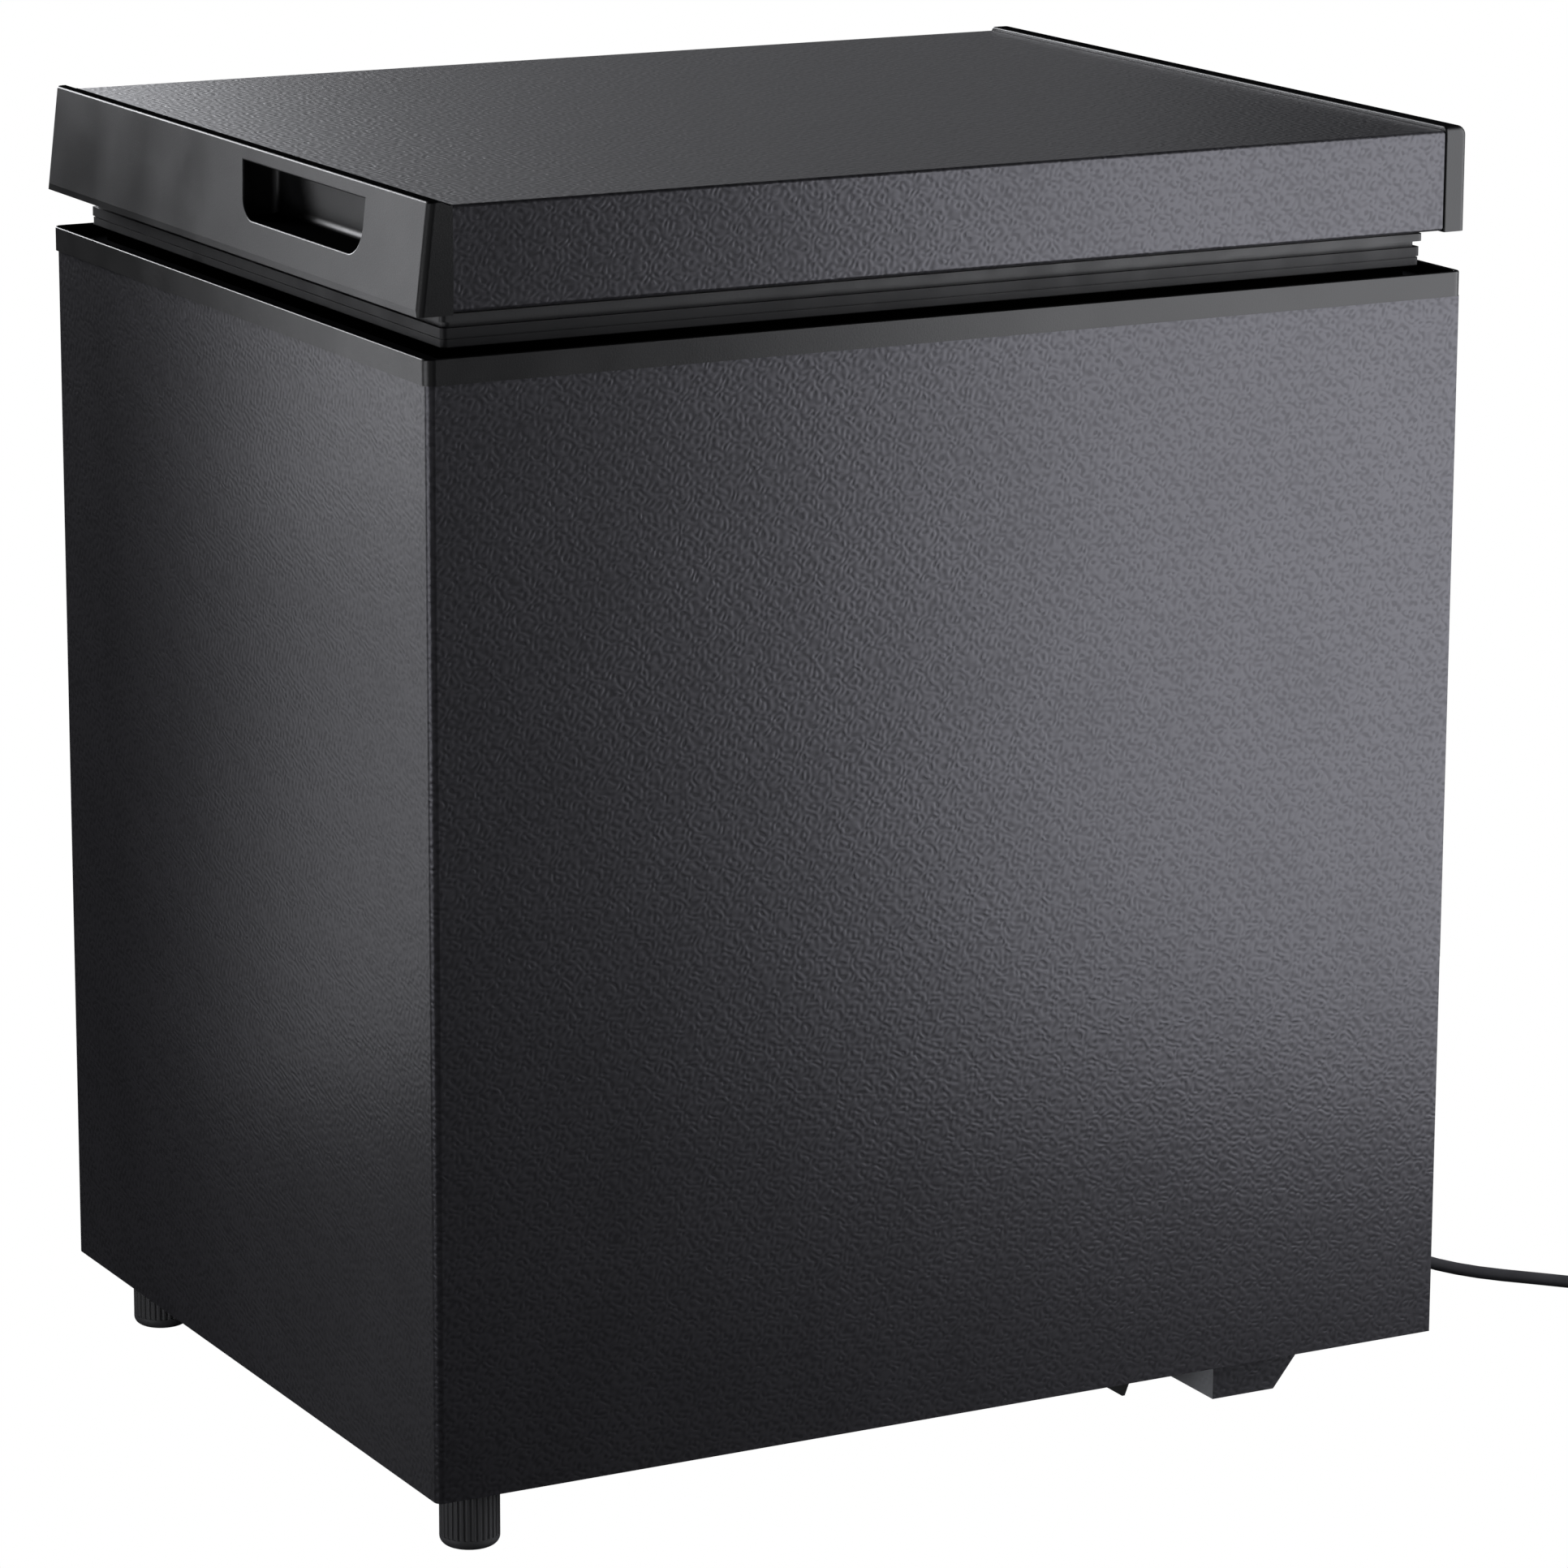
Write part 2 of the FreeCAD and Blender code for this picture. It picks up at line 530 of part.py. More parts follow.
def refrigerant_lines():
    """Drier and the copper lines between the compressor and the insulated walls."""
    x = number(f"{FRONT} + can_x")
    roof = number(HOLD_Z)
    radius = number("can_radius")
    base = number(BASE)
    side = x - radius * math.cos(math.radians(30))
    edge = -radius * math.sin(math.radians(30))
    copper = number("copper_tube")
    tubes = {
        "suction_tube": (copper + 0.3, [
            (x + 20, -radius + 3, base + 70), (x + 22, -radius - 16, base + 70),
            (x + 24, -radius - 20, base + 120), (x, -radius - 36, base + 142), (x, -radius - 36, roof)]),
        "discharge_tube": (copper - 0.6, [
            (x - 10, -radius + 2, base + 55), (x - 12, -radius - 20, base + 55),
            (x - 14, -radius - 44, base + 62), (x - 30, -radius - 62, base + 90),
            (x - 30, -radius - 62, roof)]),
        "process_tube": (copper - 0.2, [
            (side + 2, edge, base + 60), (side - 9, edge - 6, base + 60),
            (side - 11, edge - 20, base + 74), (side - 11, edge - 24, base + 98)]),
    }
    for name, (section, points) in tubes.items():
        keep(tube(name + "_pipe", section, points, 12), name)
    drier_y = "-mount_y - 75"
    drier_x = f"{FRONT} + can_x + 30"
    drier = joined("drier", rod("drier_low", "Z", (drier_x, drier_y, f"{BASE} + 52"), "12", "3", "9"),
                   rod("drier_can", "Z", (drier_x, drier_y, f"{BASE} + 64"), "66", "9"),
                   rod("drier_high", "Z", (drier_x, drier_y, f"{BASE} + 130"), "12", "9", "3"))
    keep(drier, "filter_drier")
    x_dry, y_dry = number(drier_x), number(drier_y)
    keep(tube("return_pipe", copper - 0.6, [
        (x_dry, y_dry, base + 142), (x_dry, y_dry, base + 154), (x_dry - 22, y_dry + 9, base + 166),
        (x_dry - 22, y_dry + 9, roof)], 12), "condenser_return_tube")
    keep(tube("capillary_pipe", 1.0, [
        (x_dry, y_dry, base + 52), (x_dry, y_dry + 1, base + 30), (x_dry - 30, y_dry + 4, base + 22),
        (x_dry - 60, y_dry + 2, base + 40), (x_dry - 66, y_dry, base + 90), (x_dry - 66, y_dry, roof)], 12),
        "capillary_tube")


# -------------------------------------------------------------------- feet
def levelling_foot(side, place):
    """Fluted knob with a steel stud moulded in."""
    x, y = f"{FRONT} + foot_x", f"{NEAR} + {place}"
    knob = new_body(side + "_knob_body")
    drill(knob, "XY_Plane", "0", f"{BASE} - 0.4", ("0", "0"), "knob_radius", away=False)
    dress(knob, "Fillet", "4", lambda p, b: near_to(p.z, "0"))
    dress(knob, "Fillet", "1.2", lambda p, b: near_to(p.z, f"{BASE} - 0.4"))
    flute = drill(knob, "XY_Plane", "5", f"{BASE} - 2.4", ("knob_radius + 0.5", "0"), "1.1")
    fluted = knob.newObject("PartDesign::PolarPattern", "Flutes")
    fluted.Originals = [flute]
    fluted.Axis = ([item for item in knob.Origin.OriginFeatures if item.Role == "Z_Axis"][0], [""])
    fluted.Angle = 360
    fluted.Occurrences = 32
    knob.Tip = fluted
    drill(knob, "XY_Plane", f"{BASE} - 16", BASE, ("0", "0"), "stud_radius")
    knob.setExpression("Placement.Base.x", bound(x))
    knob.setExpression("Placement.Base.y", bound(y))
    keep(knob, side + "_foot_knob")
    keep(rod(side + "_stud_rod", "Z", (x, y, f"{BASE} - 16"), "16 + stud_reach", "stud_radius"),
         side + "_foot_stud")


def foot_nuts():
    pieces = []
    for place in ("foot_near", "foot_far"):
        x, y = f"{FRONT} + foot_x", f"{NEAR} + {place}"
        low = f"{BASE} + sheet_thick"
        pieces.append(cut("nut", rod("nut_body", "Z", (x, y, low), "7", "7.2"),
                          rod("nut_bore", "Z", (x, y, BASE), "20", "stud_radius + 0.08")))
    return keep(joined("nuts", *pieces), "foot_nuts")


# --------------------------------------------------------------------- lid
SKIN_X = (f"{FRONT} + skin_front", f"{FRONT} + skin_end")


def lid_skin():
    """Bent sheet over the top and both long sides."""
    body = new_body("skin")
    t = "sheet_thick"
    flange = "10"
    prism(body, "YZ_Plane", *SKIN_X, [
        (NEAR, LID_LOW), (f"{NEAR} + {flange}", LID_LOW), (f"{NEAR} + {flange}", f"{LID_LOW} + {t}"),
        (f"{NEAR} + {t}", f"{LID_LOW} + {t}"), (f"{NEAR} + {t}", f"{LID_TOP} - {t}"),
        (f"{FAR} - {t}", f"{LID_TOP} - {t}"), (f"{FAR} - {t}", f"{LID_LOW} + {t}"),
        (f"{FAR} - {flange}", f"{LID_LOW} + {t}"), (f"{FAR} - {flange}", LID_LOW), (FAR, LID_LOW),
        (FAR, LID_TOP), (NEAR, LID_TOP)])
    dress(body, "Fillet", "edge_radius", lambda p, b: b.XLength > 400 and abs(p.y) > number(FAR) - 0.01)
    dress(body, "Fillet", f"edge_radius - {t}",
          lambda p, b: b.XLength > 400 and near_to(abs(p.y), f"{FAR} - {t}"))
    return keep(body, "lid_skin")


def lid_front_cap():
    """Moulded end piece with the ridge, the flared lip and the finger pocket."""
    body = new_body("front_cap_body")
    low = f"{LID_LOW} - cap_drop"
    ridge = f"{LID_TOP} + cap_ridge"
    seam = f"{FRONT} + skin_front"
    prism(body, "XZ_Plane", NEAR, FAR, [
        (seam, low), (seam, LID_TOP), (f"{seam} - 1.5", f"{LID_TOP} - 0.2"), (f"{FRONT} + 6.2", ridge),
        (f"{FRONT} + 1.5", ridge), (f"{FRONT} - lip_reach", f"{low} + 3"), (f"{FRONT} - lip_reach", low)])
    hollow = "2.6"
    inner_low, inner_high = f"{low} + {hollow}", f"{LID_TOP} - 3.4"
    slot_low = f"{NEAR} + slot_near - 5"
    slot_high = f"{NEAR} + slot_far + 5"
    for near, far in ((f"{NEAR} + {hollow}", slot_low), (slot_high, f"{FAR} - {hollow}")):
        prism(body, "YZ_Plane", f"{FRONT} + 4.4", f"{seam} + 1",
              rectangle((near, inner_low), (far, inner_high)), away=True)
    prism(body, "YZ_Plane", seam, f"{FRONT} + pocket_depth + 2.5",
          rectangle((slot_low, f"{LID_TOP} - 36"), (slot_high, f"{LID_TOP} - 1.4")))
    dress(body, "Fillet", "3.2", lambda p, b: b.ZLength > 30 and abs(p.y) > number(FAR) - 0.1
          and p.x < number(FRONT))
    dress(body, "Fillet", "1.1", lambda p, b: b.YLength > 300 and p.z > number(ridge) - 0.01)
    slot_top = f"{LID_TOP} - slot_top"
    slot_low_z = f"{slot_top} - slot_tall"
    prism(body, "YZ_Plane", f"{FRONT} - 6", f"{FRONT} + 3", [
        (f"{NEAR} + slot_near", slot_top), (f"{NEAR} + slot_near - 0.5", slot_low_z),
        (f"{NEAR} + slot_far - 6", slot_low_z), (f"{NEAR} + slot_far", slot_top)], away=True)
    dress(body, "Fillet", "slot_round", lambda p, b: b.XLength > 3 and b.YLength < 0.01
          and near_to(p.z, slot_low_z))
    floor = f"{slot_low_z} - 0.5"
    prism(body, "XZ_Plane", f"{slot_low} + 2.5", f"{slot_high} - 2.5", [
        (f"{FRONT} + 2.5", floor), (f"{FRONT} + pocket_depth", floor),
        (f"{FRONT} + pocket_depth", f"{slot_top} + 1"), (f"{FRONT} + 2.5", f"{slot_top} + 1")], away=True)
    dress(body, "Fillet", "4", lambda p, b: near_to(p.x, f"{FRONT} + pocket_depth")
          and ((b.YLength > 100 and near_to(p.z, floor)) or b.ZLength > 20))
    dress(body, "Fillet", "0.9", lambda p, b: b.XLength < 2.6 and b.ZLength < 26 and near_to_front(p)
          and number(slot_low_z) - 0.1 < p.z < number(slot_top) + 0.1)
    return keep(body, "lid_front_cap")


def near_to_front(point):
    """True on the outer face of the front cap, where the slot opens."""
    slope = (number("lip_reach") + 1.5) / number("lid_height + cap_ridge + cap_drop - 3")
    height = number(f"{LID_TOP} + cap_ridge") - point.z
    return abs(point.x - (number(FRONT) + 1.5 - slope * height)) < 0.3


def lid_rear_cap():
    """Moulded end piece on the hinge side, with a spigot inside the skin."""
    body = new_body("rear_cap_body")
    low = f"{LID_LOW} - cap_drop + 0.4"
    seam = f"{FRONT} + skin_end"
    high = f"{LID_TOP} + cap_ridge"
    prism(body, "XZ_Plane", NEAR, FAR, [
        (f"{seam} + 0.9", low), (f"{FRONT} + rear_cap_end", low), (f"{FRONT} + rear_cap_end", high),
        (f"{seam} + 0.9", high)])
    dress(body, "Fillet", "4.5", lambda p, b: b.YLength > 300 and near_to(p.z, high)
          and near_to(p.x, f"{FRONT} + rear_cap_end"))
    dress(body, "Fillet", "3", lambda p, b: b.ZLength > 30 and near_to(p.x, f"{FRONT} + rear_cap_end"))
    dress(body, "Fillet", "0.8", lambda p, b: near_to(p.z, high) and p.x < number(f"{seam} + 1"))
    prism(body, "YZ_Plane", f"{seam} - 8", f"{seam} + 0.9",
          rectangle((f"{NEAR} + 1.2", f"{LID_LOW} + 1.2"), (f"{FAR} - 1.2", f"{LID_TOP} - 1.2")))
    prism(body, "YZ_Plane", f"{seam} - 8", f"{seam} + 8",
          rectangle((f"{NEAR} + 4", f"{LID_LOW} + 4"), (f"{FAR} - 4", f"{LID_TOP} - 4")), away=True)
    return keep(body, "lid_rear_cap")


def lid_liner():
    """Moulded underside of the lid with a plug that fills the mouth's middle."""
    body = new_body("underside")
    low, high = LID_LOW, f"{LID_LOW} + liner_thick"
    edge = "11"
    prism(body, "XY_Plane", low, high, rectangle((f"{SKIN_X[0]} + 2", f"{NEAR} + {edge}"),
                                                 (f"{SKIN_X[1]} - 9", f"{FAR} - {edge}")))
    inset = "plug_inset"
    corner = (f"{FRONT} + {inset}", f"{NEAR} + {inset}")
    opposite = (f"{BACK} - {inset}", f"{FAR} - {inset}")
    prism(body, "XY_Plane", f"{low} - plug_drop", low, rectangle(corner, opposite))
    dress(body, "Fillet", "18", lambda p, b: b.ZLength > 8 and b.XLength < 1 and p.z < number(low))
    dress(body, "Fillet", "5", lambda p, b: near_to(p.z, f"{low} - plug_drop"))
    inner = f"({inset} + 3)"
    prism(body, "XY_Plane", f"{low} - plug_drop + liner_thick", high,
          rectangle((f"{FRONT} + {inner} + 4", f"{NEAR} + {inner} + 4"),
                    (f"{BACK} - {inner} - 4", f"{FAR} - {inner} - 4")), away=True)
    return keep(body, "lid_liner")


def lid_foam():
    """Insulation inside the lid, clear of the end pieces."""
    low = f"{LID_LOW} + liner_thick"
    slab = block("lid_slab", (f"{FRONT} + pocket_depth + 3", f"{SKIN_X[1]} - 9"),
                 (f"{NEAR} + 1.2", f"{FAR} - 1.2"), (low, f"{LID_TOP} - 1.2"))
    inner = "(plug_inset + 7.5)"
    plug_low = f"{LID_LOW} - plug_drop + liner_thick + 0.2"
    plug = block("lid_plug_foam", (f"{FRONT} + {inner}", f"{BACK} - {inner}"),
                 (f"{NEAR} + {inner}", f"{FAR} - {inner}"), (plug_low, f"{low} + 1"))
    return keep(joined("lid_insulation", slab, plug), "lid_foam")


# Ribs and necks of the seal from the lid down: inset from the lid's edge, depth.
SEAL_LAYERS = ((14.5, 2.6), (12.2, 3.4), (15, 2.8), (13, 4.2), (13.9, 0.7), (13.3, 3.6))


def lid_gasket():
    """Bellows seal: a ring of stacked ribs and necks, and a core that reaches the strip in the collar."""
    body = new_body("seal")
    high = LID_LOW
    for inset, tall in SEAL_LAYERS:
        low = f"{high} - {tall}"
        prism(body, "XY_Plane", low, high, framed(inset))
        high = low
    floor = f"{RECESS} + strip_thick + seal_gap"
    prism(body, "XY_Plane", floor, high, framed("core_inset"))
    prism(body, "XY_Plane", f"{floor} - 1", f"{LID_LOW} + 1", framed("seal_inner"), away=True)
    dress(body, "Fillet", "2.5", lambda p, b: b.ZLength > 0.5 and b.XLength < 0.01 and b.YLength < 0.01
          and abs(p.y) > number(FAR) - 25)
    return keep(body, "lid_gasket")


# ------------------------------------------------------------------ hinges
HINGE_X = f"({BACK} + hinge_out)"
HINGE_Z = f"({TOP} + hinge_up)"


def hinge(side, sign):
    """Cabinet leaf with two ears, lid leaf with a knuckle, and the pin."""
    middle = f"{sign}hinge_y"
    half = "hinge_wid / 2"
    face = f"{BACK} + sheet_thick"
    leaf = new_body(side + "_cabinet_leaf_body")
    prism(leaf, "YZ_Plane", face, f"{face} + leaf_thick",
          rectangle((f"{middle} - {half}", f"{TOP} - 72"), (f"{middle} + {half}", f"{TOP} - 6")))
    ears = ((f"{middle} - {half}", f"{middle} - {half} + ear_thick"),
            (f"{middle} + {half} - ear_thick", f"{middle} + {half}"))
    for low, high in ears:
        prism(leaf, "XZ_Plane", low, high, [
            (f"{face} + leaf_thick", f"{TOP} - 44"), (f"{face} + leaf_thick + 9", f"{TOP} - 8"),
            (f"{HINGE_X} + ear_radius", f"{HINGE_Z} - 8"), (f"{HINGE_X} + ear_radius", HINGE_Z),
            (f"{HINGE_X} - ear_radius", HINGE_Z), (f"{HINGE_X} - ear_radius", f"{HINGE_Z} - 8"),
            (f"{face} + leaf_thick", f"{TOP} - 8")])
        drill(leaf, "XZ_Plane", low, high, (HINGE_X, HINGE_Z), "ear_radius", away=False)
        drill(leaf, "XZ_Plane", low, high, (HINGE_X, HINGE_Z), "pin_radius")
    dress(leaf, "Fillet", "5", lambda p, b: b.XLength > 1 and b.YLength < 0.01 and b.ZLength < 0.01
          and near_to(p.z, f"{TOP} - 72"))
    keep(leaf, side + "_hinge_cabinet_leaf")

    cap = f"{FRONT} + rear_cap_end"
    gap = "(ear_thick + 0.4)"
    low, high = f"{middle} - {half} + {gap}", f"{middle} + {half} - {gap}"
    flap = new_body(side + "_lid_leaf_body")
    prism(flap, "XZ_Plane", low, high, [
        (cap, f"{LID_LOW} + 34"), (f"{cap} + leaf_thick", f"{LID_LOW} + 34"),
        (f"{cap} + leaf_thick", f"{LID_LOW} + 5"), (f"{HINGE_X} + 5", f"{HINGE_Z} + 3"),
        (f"{HINGE_X} - 4", f"{HINGE_Z} - 3"), (cap, f"{LID_LOW} + 1")])
    drill(flap, "XZ_Plane", low, high, (HINGE_X, HINGE_Z), "knuckle_radius", away=False)
    drill(flap, "XZ_Plane", low, high, (HINGE_X, HINGE_Z), "pin_radius + 0.06")
    keep(flap, side + "_hinge_lid_leaf")

    start = f"{middle} - {half} - 1.6"
    shank = rod(side + "_pin_shank", "Y", (HINGE_X, start, HINGE_Z), "hinge_wid + 3.2", "pin_radius")
    heads = [rod(side + "_pin_head", "Y", (HINGE_X, place, HINGE_Z), "1.6", "pin_radius + 1.6")
             for place in (start, f"{middle} + {half}")]
    keep(joined(side + "_pin_solid", shank, *heads), side + "_hinge_pin")


def hinge_screws(name, face, heights, reach):
    """Pan-head screws, two in each row of both leaves."""
    pieces = []
    for middle in ("-hinge_y", "hinge_y"):
        for height in heights:
            for side in ("- 12", "+ 12"):
                place = (face, f"{middle} {side}", height)
                tip = (f"{face} - {reach}", *place[1:])
                pieces.append(joined("screw", rod("screw_head", "X", place, "2.2", "4.2", "2.8"),
                                     rod("screw_shank", "X", tip, f"{reach} + 1", "1.9")))
    return keep(joined(name + "_set", *pieces), name)


# -------------------------------------------------------------- thermostat
def thermostat():
    wall = f"{BACK} - wall_thick - liner_thick"
    low = f"{wall} - 24"
    housing = new_body("control_box")
    prism(housing, "YZ_Plane", low, wall,
          rectangle(("dial_y - 45", "dial_z - 27"), ("dial_y + 32", "dial_z + 27")))
    dress(housing, "Fillet", "4", lambda p, b: p.x < number(wall) - 1)
    drill(housing, "YZ_Plane", f"{low} - 1", f"{low} + 14", ("dial_y", "dial_z"), "3.1")
    keep(housing, "thermostat_housing")
    knob = new_body("dial")
    drill(knob, "YZ_Plane", f"{low} - 12.3", f"{low} - 0.3", ("0", "0"), "dial_radius", away=False)
    dress(knob, "Fillet", "2", lambda p, b: near_to(p.x, f"{low} - 12.3"))
    drill(knob, "YZ_Plane", f"{low} - 0.3", f"{low} + 12", ("0", "0"), "3", away=False)
    prism(knob, "YZ_Plane", f"{low} - 16.3", f"{low} - 12.3", rectangle(("-2.5", "-13"), ("2.5", "14")))
    knob.setExpression("Placement.Base.y", bound("dial_y"))
    knob.setExpression("Placement.Base.z", bound("dial_z"))
    keep(knob, "thermostat_knob")


# -------------------------------------------------------------- mains cord
PLUG_Z = 19.2


def mains_cord():
    x0 = number(f"{BACK} - 1")
    y0 = number("cord_y")
    z0 = number(f"{BASE} + cord_up")
    radius = number("cord_radius")
    floor = radius + 0.1
    gland = joined("gland_solid",
                   rod("gland_collar", "X", (f"{BACK} - 1", "cord_y", f"{BASE} + cord_up"), "3", "9"),
                   rod("gland_taper", "X", (f"{BACK} + 2", "cord_y", f"{BASE} + cord_up"), "gland_len - 3",
                       "7", "4.6"),
                   rod("gland_neck", "X", (f"{BACK} - 8", "cord_y", f"{BASE} + cord_up"), "7", "6.05"))
    keep(gland, "cord_strain_relief")
    route = [(x0 + number("gland_len"), y0, z0), (302, 5, 40), (320, -9, 30), (331, -29, 17),
             (352, -63.5, 3.4), (408, -119.6, floor), (449.3, -168.6, floor)]
    keep(tube("cord_pipe", radius, route), "power_cord")
    outer = rod("coil_outer", "Z", ("coil_x", "coil_y", "0.05"), "4 * cord_radius + 0.6",
                "coil_radius + coil_spread")
    hole = rod("coil_hole", "Z", ("coil_x", "coil_y", "-1"), "40", "coil_radius - coil_spread")
    keep(cut("coil_ring", outer, hole), "cord_coil")
    tail_x = number("coil_x + coil_radius") + 9
    tail_y = number("coil_y")
    keep(tube("tail_pipe", radius, [
        (tail_x, tail_y - 4, 3 * radius + 0.3), (tail_x, tail_y + 20, 3 * radius + 1),
        (tail_x, tail_y + 46, PLUG_Z), (tail_x, tail_y + 70, PLUG_Z)]), "plug_lead")
    start = tail_y + 70
    boot = rod("plug_boot", "Y", (tail_x, start, PLUG_Z), "22", "4.4", "6.4")
    barrel = rod("plug_barrel", "Y", (tail_x, start + 18, PLUG_Z), "22", "9", "18")
    grip = rod("plug_grip", "Y", (tail_x, start + 40, PLUG_Z), "16", "18.9")
    keep(joined("plug_solid", boot, barrel, grip), "plug_body")
    contacts = [rod("plug_contact", "Y", (f"{tail_x} {side} pin_spacing / 2", start + 56, PLUG_Z),
                    "contact_len", "contact_radius") for side in "+-"]
    keep(joined("plug_contacts", *contacts), "plug_pins")


cabinet_wrapper()
rear_panel()
bottom_panel()
base_plate()
rear_foot_rail()
inner_liner()
cabinet_foam()
collar_frame()
breaker_strip()
seal_strip()
rectangular_coil("evaporator_tube", "cold_tube", "wall_thick - cold_tube - 0.2", f"{HOLD_Z} + 62", 44, 5, 22)
rectangular_coil("condenser_tube", "hot_tube", "sheet_thick + hot_tube + 0.2", f"{HOLD_Z} + 20", 52, 5, 16)
shell = compressor_shell()
compressor_bracket()
rubber_grommets()
mounting_bolts()
terminal_cover(shell)
refrigerant_lines()
levelling_foot("near", "foot_near")
levelling_foot("far", "foot_far")
foot_nuts()
lid_skin()
lid_front_cap()
lid_rear_cap()
lid_liner()
lid_foam()
lid_gasket()
hinge("near", "-")
hinge("far", "+")
hinge_screws("cabinet_hinge_screws", f"{BACK} + sheet_thick + leaf_thick",
             (f"{TOP} - 60", f"{TOP} - 22"), "12")
hinge_screws("lid_hinge_screws", f"{FRONT} + rear_cap_end + leaf_thick",
             (f"{LID_LOW} + 26", f"{LID_LOW} + 12"), "10")
thermostat()
mains_cord()

doc.recompute()
failed = [f"{item.Name} ({item.Label})" for item in doc.Objects
          if "Invalid" in item.State or "Error" in item.State]
if failed:
    raise RuntimeError("failed: " + ", ".join(failed))
os.makedirs("parts", exist_ok=True)
for part in subparts:
    if part.Shape.isNull() or not part.Shape.isValid():
        raise RuntimeError(f"{part.Label} has no valid shape")
    part.Shape.exportStep(f"parts/{part.Label}.step")
    print(f"{part.Label}: {len(part.Shape.Solids)} solids, {part.Shape.Volume / 1000:.1f} cm3")
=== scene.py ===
import json
import math

import bpy
from mathutils import Matrix, Vector


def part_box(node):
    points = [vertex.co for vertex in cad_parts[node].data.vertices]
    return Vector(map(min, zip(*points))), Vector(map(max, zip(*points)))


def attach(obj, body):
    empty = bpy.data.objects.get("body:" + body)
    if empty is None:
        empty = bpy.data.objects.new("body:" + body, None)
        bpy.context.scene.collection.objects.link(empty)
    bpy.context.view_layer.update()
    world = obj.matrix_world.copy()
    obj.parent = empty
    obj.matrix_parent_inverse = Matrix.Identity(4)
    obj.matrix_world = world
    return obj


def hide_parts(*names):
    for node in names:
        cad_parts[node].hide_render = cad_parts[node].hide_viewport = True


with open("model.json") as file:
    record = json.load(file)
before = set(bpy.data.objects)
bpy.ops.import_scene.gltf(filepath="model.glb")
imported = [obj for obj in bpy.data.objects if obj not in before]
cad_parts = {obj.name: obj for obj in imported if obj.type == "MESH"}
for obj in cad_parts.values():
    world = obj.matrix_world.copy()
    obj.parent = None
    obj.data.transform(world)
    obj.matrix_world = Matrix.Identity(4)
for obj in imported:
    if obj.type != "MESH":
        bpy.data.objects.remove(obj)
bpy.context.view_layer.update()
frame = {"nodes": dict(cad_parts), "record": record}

# Lengths are in metres, in the frame's axes, unless a name says otherwise.
scene = bpy.context.scene


# ------------------------------------------------------------------ camera
AZIMUTH_DEG, ELEVATION_DEG, ROLL_DEG = -28.27, 13.65, 0.23
SENSOR_MM = 36
LENS_MM = 149.64
FAR_CLIP = 50
CAMERA_FROM_WRAPPER = Vector((-1.1535, -2.4646, 0.9876))


def make_camera():
    """Camera at the photograph's place, measured from the cabinet wrapper's lowest corner."""
    azimuth, elevation, roll = map(math.radians, (AZIMUTH_DEG, ELEVATION_DEG, ROLL_DEG))
    forward = Vector((-math.sin(azimuth) * math.cos(elevation),
                      math.cos(azimuth) * math.cos(elevation),
                      -math.sin(elevation)))
    level = forward.cross(Vector((0, 0, 1))).normalized()
    upright = level.cross(forward)
    right = level * math.cos(roll) + upright * math.sin(roll)
    up = upright * math.cos(roll) - level * math.sin(roll)
    data = bpy.data.cameras.new("camera")
    data.sensor_width = SENSOR_MM
    data.lens = LENS_MM
    data.clip_end = FAR_CLIP
    camera = bpy.data.objects.new("camera", data)
    camera.matrix_world = Matrix((right, up, -forward)).transposed().to_4x4()
    camera.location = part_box("cabinet_wrapper")[0] + CAMERA_FROM_WRAPPER
    scene.collection.objects.link(camera)
    scene.camera = camera


make_camera()


# ------------------------------------------------------------ node helpers
def node_material(name):
    material = bpy.data.materials.new(name)
    material.use_nodes = True
    nodes, links = material.node_tree.nodes, material.node_tree.links
    return material, nodes, links, nodes["Principled BSDF"]


def object_coordinates(nodes):
    return nodes.new("ShaderNodeTexCoord").outputs["Object"]


def noise(nodes, links, where, size, detail=2.0):
    """Noise whose features are about size across."""
    texture = nodes.new("ShaderNodeTexNoise")
    texture.inputs["Scale"].default_value = 1 / size
    texture.inputs["Detail"].default_value = detail
    links.new(where, texture.inputs["Vector"])
    return texture.outputs["Fac"]


def cells(nodes, links, where, size):
    """Voronoi cells about size across."""
    texture = nodes.new("ShaderNodeTexVoronoi")
    texture.inputs["Scale"].default_value = 1 / size
    links.new(where, texture.inputs["Vector"])
    return texture.outputs


def spread(nodes, links, value, low, high, from_low=0.3, from_high=0.7):
    """Map a value to the range low..high; the defaults suit what noise gives."""
    mapped = nodes.new("ShaderNodeMapRange")
    mapped.inputs["From Min"].default_value = from_low
    mapped.inputs["From Max"].default_value = from_high
    mapped.inputs["To Min"].default_value = low
    mapped.inputs["To Max"].default_value = high
    links.new(value, mapped.inputs["Value"])
    return mapped.outputs["Result"]


def mixed(nodes, links, factor, first, second):
    """Mix of two colours, each a tuple, a list or a socket."""
    mix = nodes.new("ShaderNodeMix")
    mix.data_type = "RGBA"
    links.new(factor, mix.inputs["Factor"])
    for socket, value in ((mix.inputs[6], first), (mix.inputs[7], second)):
        if isinstance(value, (tuple, list)):
            socket.default_value = (*value[:3], 1)
        else:
            links.new(value, socket)
    return mix.outputs[2]


def bump(nodes, links, height, distance, strength):
    node = nodes.new("ShaderNodeBump")
    node.inputs["Distance"].default_value = distance
    node.inputs["Strength"].default_value = strength
    links.new(height, node.inputs["Height"])
    return node.outputs["Normal"]


def math_node(nodes, links, operation, first, second):
    node = nodes.new("ShaderNodeMath")
    node.operation = operation
    for socket, value in zip(node.inputs, (first, second)):
        if isinstance(value, (int, float)):
            socket.default_value = value
        else:
            links.new(value, socket)
    return node.outputs[0]


